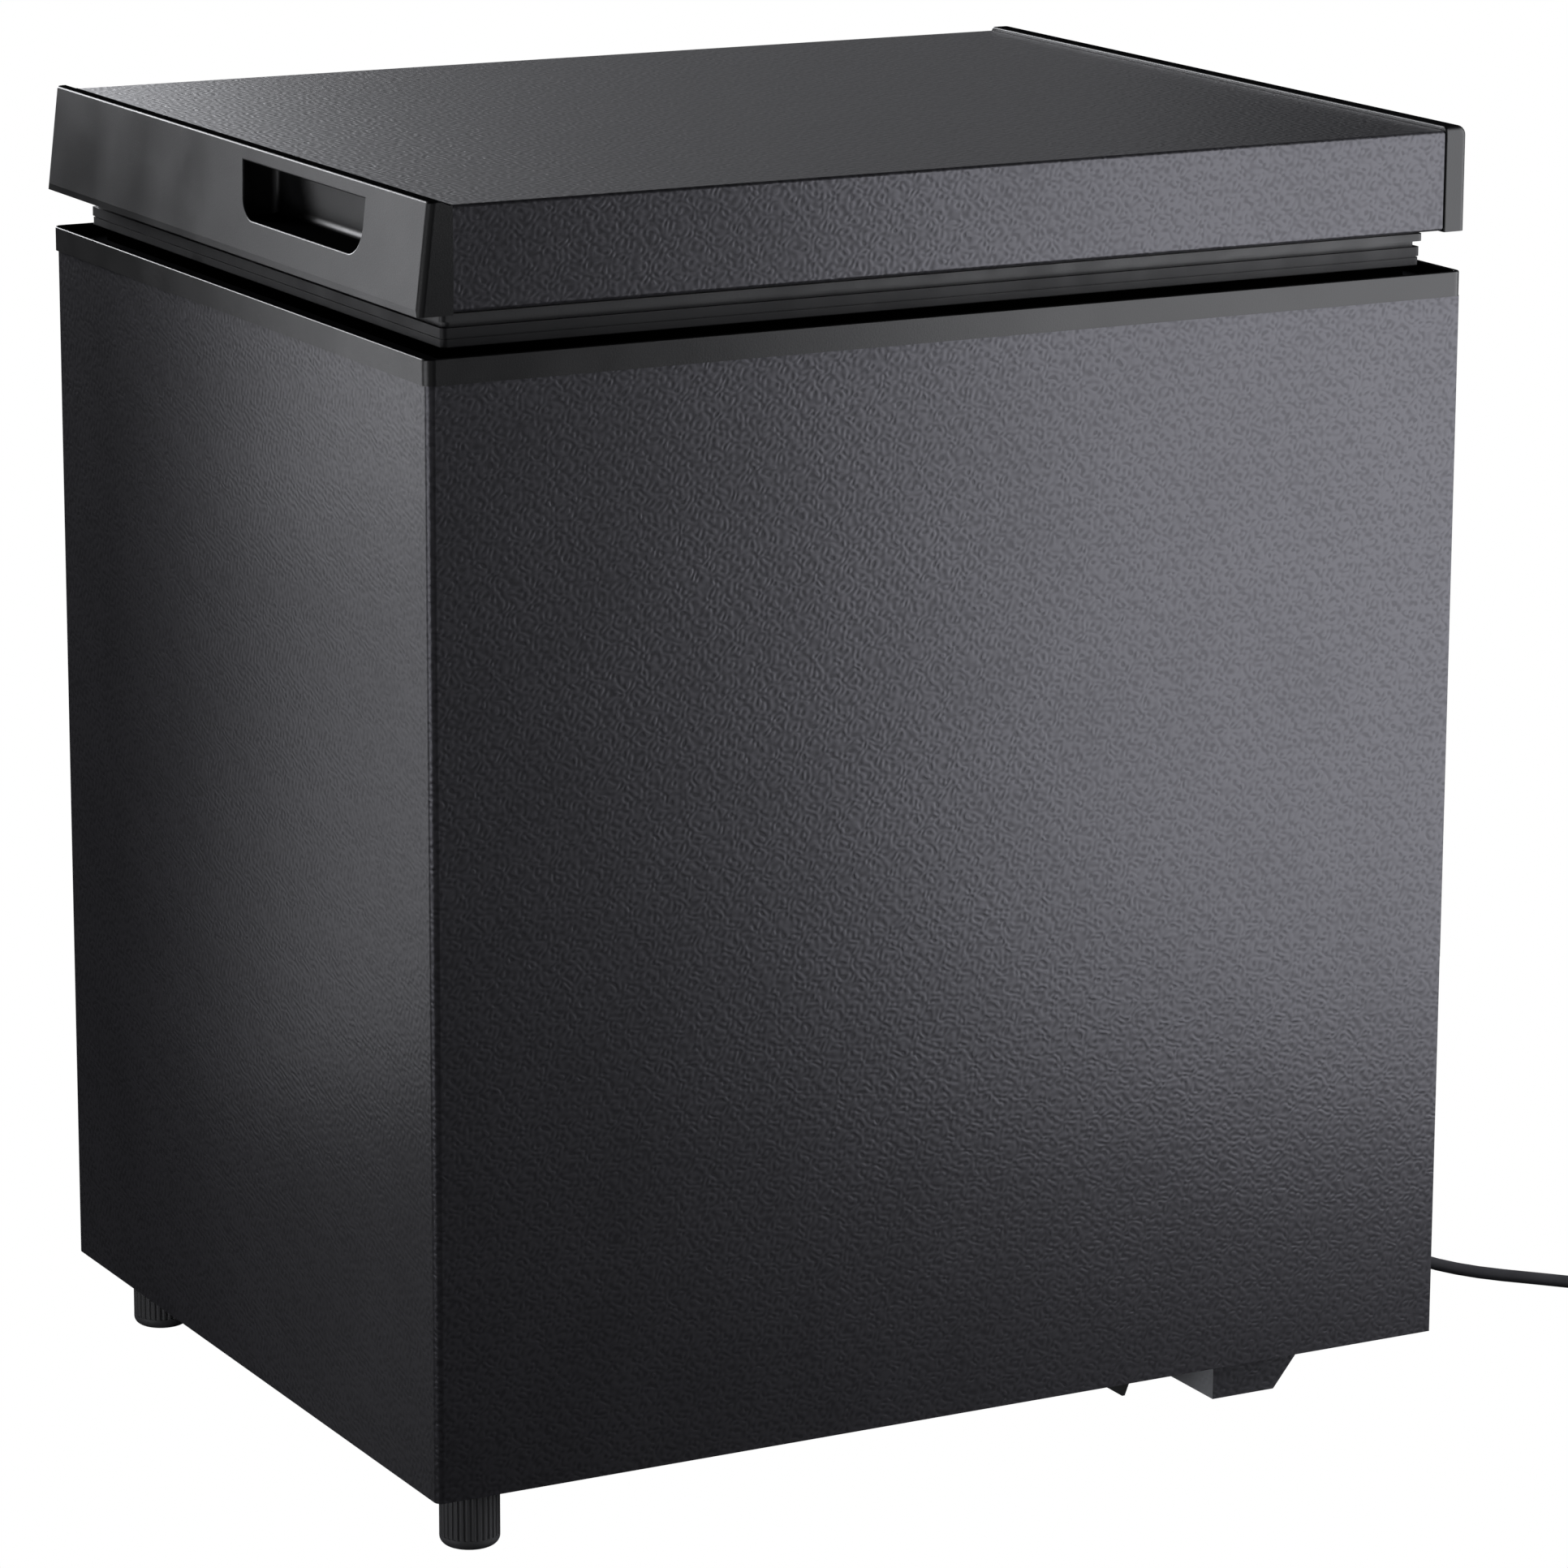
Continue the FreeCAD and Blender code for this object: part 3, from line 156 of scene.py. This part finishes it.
def blend(nodes, links, first, share, second, second_share):
    """Weighted sum of two values."""
    return math_node(nodes, links, "ADD", math_node(nodes, links, "MULTIPLY", first, share),
                     math_node(nodes, links, "MULTIPLY", second, second_share))


def facing(nodes, links, axis):
    """How far the surface faces along one of the piece's own axes, from -1 to 1."""
    split = nodes.new("ShaderNodeSeparateXYZ")
    links.new(nodes.new("ShaderNodeTexCoord").outputs["Normal"], split.inputs["Vector"])
    return split.outputs[axis]


def painted_shade_on_tops(nodes, links, shader, shine):
    """Full shine on sides, falling to none on faces that look straight up, so that tops read
    dark: painted shade.
    """
    links.new(spread(nodes, links, facing(nodes, links, "Z"), shine, 0.0,
                     from_low=0.25, from_high=0.85),
              shader.inputs["Specular IOR Level"])


def shade(tint, factor):
    return [min(1, channel * factor) for channel in tint]


# --------------------------------------------------------------- materials
EMBOSS_PERIOD = 0.0030
EMBOSS_BEND_SIZE = 2.2 * EMBOSS_PERIOD
EMBOSS_BEND = 1.3 * EMBOSS_PERIOD
EMBOSS_SWING = 3.96                  # sum of the nine waves at a full ridge
EMBOSS_TURNS = ((0.4, 1.0, 2.3), (1.9, 0.5, 0.8), (2.6, 1.7, 1.4))
EMBOSS_STRETCH = (1, 0.87, 1.13)
VALLEY, RIDGE = 0.05, 0.58           # heights over which the painted shade in the emboss valleys fades, in colour and shine
RUBBER_GRAIN = 0.0009
SEAL_CORE_TOP = 0.5412               # below this the seal's core is painted near black as the collar's shade
SEAL_UPPER_RIB = 0.5505


def ridges(nodes, links, where):
    """Curled ridges: nine plane waves in scattered directions, bent by noise."""
    drift = nodes.new("ShaderNodeTexNoise")
    drift.inputs["Scale"].default_value = 1 / EMBOSS_BEND_SIZE
    drift.inputs["Detail"].default_value = 0.0
    links.new(where, drift.inputs["Vector"])
    bent = nodes.new("ShaderNodeVectorMath")
    bent.operation = "MULTIPLY_ADD"
    bent.inputs[1].default_value = (EMBOSS_BEND, EMBOSS_BEND, EMBOSS_BEND)
    links.new(drift.outputs["Color"], bent.inputs[0])
    links.new(where, bent.inputs[2])
    rate = 2 * math.pi / EMBOSS_PERIOD
    total = None
    for turn in EMBOSS_TURNS:
        turned = nodes.new("ShaderNodeMapping")
        turned.inputs["Rotation"].default_value = turn
        turned.inputs["Scale"].default_value = [rate * stretch for stretch in EMBOSS_STRETCH]
        links.new(bent.outputs["Vector"], turned.inputs["Vector"])
        wave = nodes.new("ShaderNodeVectorMath")
        wave.operation = "SINE"
        links.new(turned.outputs["Vector"], wave.inputs[0])
        if total is None:
            total = wave.outputs["Vector"]
        else:
            joined = nodes.new("ShaderNodeVectorMath")
            links.new(total, joined.inputs[0])
            links.new(wave.outputs["Vector"], joined.inputs[1])
            total = joined.outputs["Vector"]
    summed = nodes.new("ShaderNodeVectorMath")
    summed.operation = "DOT_PRODUCT"
    summed.inputs[1].default_value = (1, 1, 1)
    links.new(total, summed.inputs[0])
    return spread(nodes, links, summed.outputs["Value"], 0, 1,
                  from_low=-EMBOSS_SWING, from_high=EMBOSS_SWING)


def textured_steel(name, tint, rough, depth):
    """Prepainted steel with a leather-like emboss, deeper on faces that look up; its valleys are
    painted darker and less shiny, as shade.
    """
    material, nodes, links, shader = node_material(name)
    where = object_coordinates(nodes)
    broad = noise(nodes, links, where, size=0.05, detail=3.0)
    fine = noise(nodes, links, where, size=0.0011)
    worn = math_node(nodes, links, "MULTIPLY", ridges(nodes, links, where),
                     spread(nodes, links, broad, 0.7, 1.0))
    height = math_node(nodes, links, "ADD", worn,
                       math_node(nodes, links, "MULTIPLY", fine, 0.05))
    relief = bump(nodes, links, height, distance=depth, strength=1.0)
    links.new(spread(nodes, links, facing(nodes, links, "Z"), depth, 2.2 * depth,
                     from_low=0.5, from_high=1.0),
              relief.node.inputs["Distance"])
    links.new(relief, shader.inputs["Normal"])
    uneven = mixed(nodes, links, broad, shade(tint, 0.88), shade(tint, 1.12))
    valley_painted_shade = spread(nodes, links, height, 0.5, 0.0, VALLEY, RIDGE)
    # painted shade: the emboss valleys are darkened towards a third of the tint
    links.new(mixed(nodes, links, valley_painted_shade, uneven, shade(tint, 0.35)), shader.inputs["Base Color"])
    links.new(spread(nodes, links, fine, rough - 0.03, rough + 0.04), shader.inputs["Roughness"])
    # painted shade: less shine in the emboss valleys
    links.new(spread(nodes, links, height, 0.41, 0.57, VALLEY, RIDGE),
              shader.inputs["Specular IOR Level"])
    shader.inputs["Specular Tint"].default_value = (0.93, 0.92, 1.0, 1)
    return material


def rail_steel():
    """The folded rail: embossed paint, with bare zinc on the faces that look forward."""
    material = textured_steel("black_steel_rail", (0.030, 0.030, 0.033), 0.40, 0.00008)
    nodes, links = material.node_tree.nodes, material.node_tree.links
    base = nodes["Principled BSDF"].inputs["Base Color"]
    bare = spread(nodes, links, facing(nodes, links, "X"), 1, 0, from_low=-0.8, from_high=-0.3)
    links.new(mixed(nodes, links, bare, base.links[0].from_socket, (0.55, 0.56, 0.58)), base)
    return material


def moulded_plastic(name, tint, rough, variation=0.06, coat=0.0, shine=0.5, painted_dark_tops=False):
    """Injection-moulded plastic: fine matt grain and a slight unevenness of gloss."""
    material, nodes, links, shader = node_material(name)
    where = object_coordinates(nodes)
    fine = noise(nodes, links, where, size=0.0007, detail=3.0)
    broad = noise(nodes, links, where, size=0.04, detail=3.0)
    links.new(mixed(nodes, links, broad, shade(tint, 1 - variation), shade(tint, 1 + variation)),
              shader.inputs["Base Color"])
    wear = blend(nodes, links, fine, 0.4, broad, 0.6)
    links.new(spread(nodes, links, wear, rough - 0.05, rough + 0.08), shader.inputs["Roughness"])
    links.new(bump(nodes, links, fine, distance=0.00012, strength=0.35), shader.inputs["Normal"])
    shader.inputs["Specular IOR Level"].default_value = shine
    # painted shade: shine taken off the tops
    if painted_dark_tops:
        painted_shade_on_tops(nodes, links, shader, shine)
    shader.inputs["Coat Weight"].default_value = coat
    shader.inputs["Coat Roughness"].default_value = 0.12
    return material


def metal(name, tint, rough, spangle=0.006, scratch=0.3):
    """Plated or bare metal with crystals of plating and fine handling marks."""
    material, nodes, links, shader = node_material(name)
    where = object_coordinates(nodes)
    crystal = nodes.new("ShaderNodeSeparateColor")
    links.new(cells(nodes, links, where, spangle)["Color"], crystal.inputs["Color"])
    broad = noise(nodes, links, where, size=0.03, detail=4.0)
    fine = noise(nodes, links, where, size=0.0009)
    tone = blend(nodes, links, crystal.outputs[0], 0.45, broad, 0.55)
    links.new(mixed(nodes, links, tone, shade(tint, 0.78), tint), shader.inputs["Base Color"])
    links.new(spread(nodes, links, tone, rough - 0.08, rough + 0.1), shader.inputs["Roughness"])
    shader.inputs["Metallic"].default_value = 1.0
    links.new(bump(nodes, links, fine, distance=0.00006, strength=scratch),
              shader.inputs["Normal"])
    return material


def painted_metal(name, tint, rough):
    """Black or grey enamel with orange peel; its tops are painted dark as shade by taking their
    shine away.
    """
    material, nodes, links, shader = node_material(name)
    where = object_coordinates(nodes)
    peel = noise(nodes, links, where, size=0.0025)
    broad = noise(nodes, links, where, size=0.05, detail=4.0)
    links.new(mixed(nodes, links, broad, shade(tint, 0.85), shade(tint, 1.2)),
              shader.inputs["Base Color"])
    links.new(spread(nodes, links, broad, rough - 0.06, rough + 0.1), shader.inputs["Roughness"])
    links.new(bump(nodes, links, peel, distance=0.0002, strength=0.5), shader.inputs["Normal"])
    # painted shade: shine taken off the tops
    painted_shade_on_tops(nodes, links, shader, 0.5)
    return material


def soft_rubber(name, tint, rough, grain=RUBBER_GRAIN):
    """Matt rubber or soft vinyl with a fine grain."""
    material, nodes, links, shader = node_material(name)
    where = object_coordinates(nodes)
    fine = noise(nodes, links, where, grain, detail=3.0)
    broad = noise(nodes, links, where, size=0.02, detail=3.0)
    links.new(mixed(nodes, links, broad, shade(tint, 0.8), shade(tint, 1.25)),
              shader.inputs["Base Color"])
    links.new(spread(nodes, links, broad, rough - 0.08, rough + 0.1), shader.inputs["Roughness"])
    links.new(bump(nodes, links, fine, distance=0.00012, strength=0.4), shader.inputs["Normal"])
    shader.inputs["Specular IOR Level"].default_value = 0.4
    return material


def bellows_rubber():
    """Black seal rubber: slightly glossy ribs, the upper one most, over a core painted near black
    and without shine as the collar's shade.
    """
    material, nodes, links, shader = node_material("seal_rubber")
    where = object_coordinates(nodes)
    split = nodes.new("ShaderNodeSeparateXYZ")
    links.new(where, split.inputs["Vector"])
    level = split.outputs["Z"]
    broad = noise(nodes, links, where, size=0.02, detail=3.0)
    fine = noise(nodes, links, where, RUBBER_GRAIN, detail=3.0)
    above_painted_shade = spread(nodes, links, level, 0, 1, SEAL_CORE_TOP, SEAL_CORE_TOP + 0.0006)
    on_upper = spread(nodes, links, level, 0.22, 0.42, SEAL_UPPER_RIB, SEAL_UPPER_RIB + 0.001)
    ribs = mixed(nodes, links, broad, (0.008, 0.008, 0.0085), (0.013, 0.013, 0.0135))
    # painted shade: the core below SEAL_CORE_TOP is near black
    links.new(mixed(nodes, links, above_painted_shade, (0.0006, 0.0006, 0.0006), ribs),
              shader.inputs["Base Color"])
    # painted shade: no shine on the core
    links.new(math_node(nodes, links, "MULTIPLY", above_painted_shade, on_upper),
              shader.inputs["Specular IOR Level"])
    links.new(spread(nodes, links, broad, 0.42, 0.58), shader.inputs["Roughness"])
    links.new(bump(nodes, links, fine, distance=0.00012, strength=0.4), shader.inputs["Normal"])
    return material


def foam_material():
    """Poured polyurethane foam, yellowed unevenly."""
    material, nodes, links, shader = node_material("polyurethane_foam")
    where = object_coordinates(nodes)
    bubbles = cells(nodes, links, where, size=0.0016)["Distance"]
    broad = noise(nodes, links, where, size=0.05, detail=3.0)
    links.new(mixed(nodes, links, broad, (0.74, 0.62, 0.36), (0.86, 0.77, 0.52)),
              shader.inputs["Base Color"])
    shader.inputs["Roughness"].default_value = 0.9
    links.new(bump(nodes, links, bubbles, distance=0.0004, strength=0.6),
              shader.inputs["Normal"])
    return material


MATERIALS = {
    "textured_steel": textured_steel("textured_steel", (0.0235, 0.0230, 0.0255), 0.33, 0.000085),
    "frame_plastic": moulded_plastic("frame_plastic", (0.0055, 0.0055, 0.0057), 0.33,
                                     shine=0.40, painted_dark_tops=True),
    "cap_plastic": moulded_plastic("cap_plastic", (0.0055, 0.0056, 0.0058), 0.35,
                                   shine=0.38, painted_dark_tops=True),
    "liner_plastic": moulded_plastic("liner_plastic", (0.80, 0.81, 0.80), 0.28,
                                     variation=0.02, coat=0.2),
    "foam": foam_material(),
    "seal_rubber": bellows_rubber(),
    "zinc_steel": metal("zinc_steel", (0.36, 0.365, 0.37), 0.46),
    "black_steel": painted_metal("black_steel", (0.014, 0.014, 0.015), 0.35),
    "grey_steel": painted_metal("grey_steel", (0.07, 0.07, 0.075), 0.42),
    "foot_plastic": moulded_plastic("foot_plastic", (0.055, 0.055, 0.057), 0.45),
    "black_plastic": moulded_plastic("black_plastic", (0.020, 0.020, 0.021), 0.42),
    "copper": metal("copper", (0.80, 0.40, 0.25), 0.32, spangle=0.02),
    "aluminium": metal("aluminium", (0.78, 0.79, 0.80), 0.35),
    "grommet_rubber": soft_rubber("grommet_rubber", (0.018, 0.018, 0.018), 0.7),
    "cord_rubber": soft_rubber("cord_rubber", (0.030, 0.030, 0.033), 0.45, grain=0.0006),
    "plug_plastic": soft_rubber("plug_plastic", (0.025, 0.025, 0.027), 0.42, grain=0.0006),
    "pin_metal": metal("pin_metal", (0.80, 0.78, 0.72), 0.18, spangle=0.02, scratch=0.15),
    "dial_plastic": moulded_plastic("dial_plastic", (0.70, 0.71, 0.72), 0.30, variation=0.03),
}


def dress_nodes():
    """Give every CAD node the material of its slot; the rail has a material of its own."""
    slots = {part["node"]: part["material_slot"] for part in frame["record"]["subparts"]}
    own = {"rear_foot_rail": rail_steel()}
    for node, piece in frame["nodes"].items():
        piece.data.materials.clear()
        piece.data.materials.append(own.get(node, MATERIALS[slots[node]]))


dress_nodes()


# -------------------------------------------------------------------- cord
CORD_RADIUS = 0.0031
CORD_GAP = 0.0001                    # between the lower turns and the floor
COIL_CENTRE = Vector((0.483, -0.140, 0))
COIL_TURNS = 5.39
COIL_START = math.radians(220.26)
COIL_OUTER = 0.0442
COIL_PITCH = 0.0064
COIL_CLIMB_TURNS = 0.7               # the part of the coil that climbs to the upper layer
POINTS_PER_TURN = 16


def coil_points():
    """Turns that wind inwards on the floor, climb, and wind outwards on top of themselves."""
    total = round(COIL_TURNS * POINTS_PER_TURN)
    low, high = CORD_RADIUS + CORD_GAP, 3 * CORD_RADIUS + 4 * CORD_GAP
    half = COIL_TURNS / 2
    points = []
    for step in range(1, total + 1):
        turn = COIL_TURNS * step / total
        angle = COIL_START + 2 * math.pi * turn
        climb = min(1, max(0, (turn - half + COIL_CLIMB_TURNS / 2) / COIL_CLIMB_TURNS))
        radius = COIL_OUTER - COIL_PITCH * min(turn, COIL_TURNS - turn)
        points.append((COIL_CENTRE.x + radius * math.cos(angle),
                       COIL_CENTRE.y + radius * math.sin(angle),
                       low + (high - low) * climb))
    return points


def mains_cord():
    """Cord from the strain relief along the floor, through the coil, to the plug."""
    lead_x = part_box("plug_lead")[0].x + CORD_RADIUS
    route = [(0.277, 0.007, 0.043), (0.302, 0.005, 0.040), (0.320, -0.009, 0.030),
             (0.331, -0.029, 0.017), (0.352, -0.0635, 0.0034), (0.408, -0.1196, 0.0032),
             (0.4493, -0.1686, 0.0032)]
    tail = [(lead_x, -0.120, 0.0103), (lead_x, -0.094, 0.0192), (lead_x, -0.070, 0.0192)]
    points = route + coil_points() + tail
    curve = bpy.data.curves.new("mains_cord", "CURVE")
    curve.dimensions = "3D"
    curve.bevel_depth = CORD_RADIUS
    curve.bevel_resolution = 6
    curve.resolution_u = 6
    curve.use_fill_caps = True
    spline = curve.splines.new("NURBS")
    spline.points.add(len(points) - 1)
    for point, place in zip(spline.points, points):
        point.co = (*place, 1)
    spline.order_u = 3
    spline.use_endpoint_u = True
    curve.materials.append(MATERIALS["cord_rubber"])
    cord = bpy.data.objects.new("mains_cord", curve)
    scene.collection.objects.link(cord)
    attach(cord, "cabinet")
    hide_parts("power_cord", "cord_coil", "plug_lead")


mains_cord()


# ----------------------------------------------------- floor, world, lights
FLOOR_SIZE = 30
WHITE = (1, 1, 1, 1)
AMBIENT = 0.006                      # the world's strength on the object
SOFT_BOX_COLOUR = (0.955, 0.962, 1.0)
RIGHT_BOX = ("right_box", (0.514, -0.489, 0.459), (0, 0, 0.33), 8.8, 0.74, 0.91)
# The box at the left is a stack of panels: name, lower edge, upper edge, watts.
LEFT_PANELS = (("left_top", 0.65, 0.97, 1.5), ("left_middle", 0.35, 0.65, 3.8),
               ("left_bottom", 0.05, 0.35, 2.2), ("left_floor", -0.25, 0.05, 0.3))
LEFT_WIDTH = 1.80
LEFT_X, LEFT_Y = -1.132, 0.879
LEFT_TARGET_X, LEFT_TARGET_Y = -1.777, 0.115
# Name, place, point that it faces, watts, width, height.
OTHER_BOXES = (
    ("back_low", (-0.15, 2.089, 0.9), (0, 0, -0.185), 32, 1.0, 0.5),
    ("back_high", (0.225, 2.089, 1.415), (0.375, 0, 0.33), 7, 1.0, 1.97),
    ("back_right", (1.05, 2.089, 1.415), (1.2, 0, 0.33), 1.9, 1.45, 1.97),
    ("high_box", (-0.92, 1.72, 1.14), (-0.27, -0.08, 0.58), 19, 0.7, 0.7),
    ("front_fill", (-1.8, -2.0, 0.5), (0, 0, 0.33), 5.3, 3.2, 1.6),
    ("low_left", (-2.0, -0.2, 0.15), (0, 0, 0.2), 9.6, 1.4, 0.5),
)


def make_floor():
    """Plain floor: white to the camera, open to the studio's other light."""
    bpy.ops.mesh.primitive_plane_add(size=FLOOR_SIZE)
    floor = bpy.context.object
    floor.name = "floor"
    material, nodes, links, shader = node_material("floor")
    nodes.remove(shader)
    ray = nodes.new("ShaderNodeLightPath")
    glow = nodes.new("ShaderNodeEmission")
    glow.inputs["Color"].default_value = WHITE
    glow.inputs["Strength"].default_value = 1.0
    clear = nodes.new("ShaderNodeBsdfTransparent")
    choice = nodes.new("ShaderNodeMixShader")
    links.new(ray.outputs["Is Camera Ray"], choice.inputs["Fac"])
    links.new(clear.outputs["BSDF"], choice.inputs[1])
    links.new(glow.outputs["Emission"], choice.inputs[2])
    links.new(choice.outputs["Shader"], nodes["Material Output"].inputs["Surface"])
    floor.data.materials.append(material)


def make_world():
    """White to the camera, nearly dark to the object."""
    world = bpy.data.worlds.new("studio")
    world.use_nodes = True
    nodes, links = world.node_tree.nodes, world.node_tree.links
    background = nodes["Background"]
    ray = nodes.new("ShaderNodeLightPath")
    strength = nodes.new("ShaderNodeMapRange")
    strength.inputs["To Min"].default_value = AMBIENT
    strength.inputs["To Max"].default_value = 1.0
    links.new(ray.outputs["Is Camera Ray"], strength.inputs["Value"])
    links.new(strength.outputs["Result"], background.inputs["Strength"])
    background.inputs["Color"].default_value = WHITE
    scene.world = world


def area_light(name, place, target, power, width, height):
    """Soft box that faces a point."""
    data = bpy.data.lights.new(name, "AREA")
    data.energy = power
    data.shape = "RECTANGLE"
    data.size = width
    data.size_y = height
    data.color = SOFT_BOX_COLOUR
    light = bpy.data.objects.new(name, data)
    light.location = place
    aim = Vector(target) - Vector(place)
    light.rotation_euler = aim.to_track_quat("-Z", "Y").to_euler()
    light.visible_camera = False
    scene.collection.objects.link(light)


scene.view_settings.view_transform = "Standard"
make_floor()
make_world()
area_light(*RIGHT_BOX)
for name, low, high, power in LEFT_PANELS:
    middle = (low + high) / 2
    area_light(name, (LEFT_X, LEFT_Y, middle), (LEFT_TARGET_X, LEFT_TARGET_Y, middle),
               power, LEFT_WIDTH, high - low)
for box in OTHER_BOXES:
    area_light(*box)
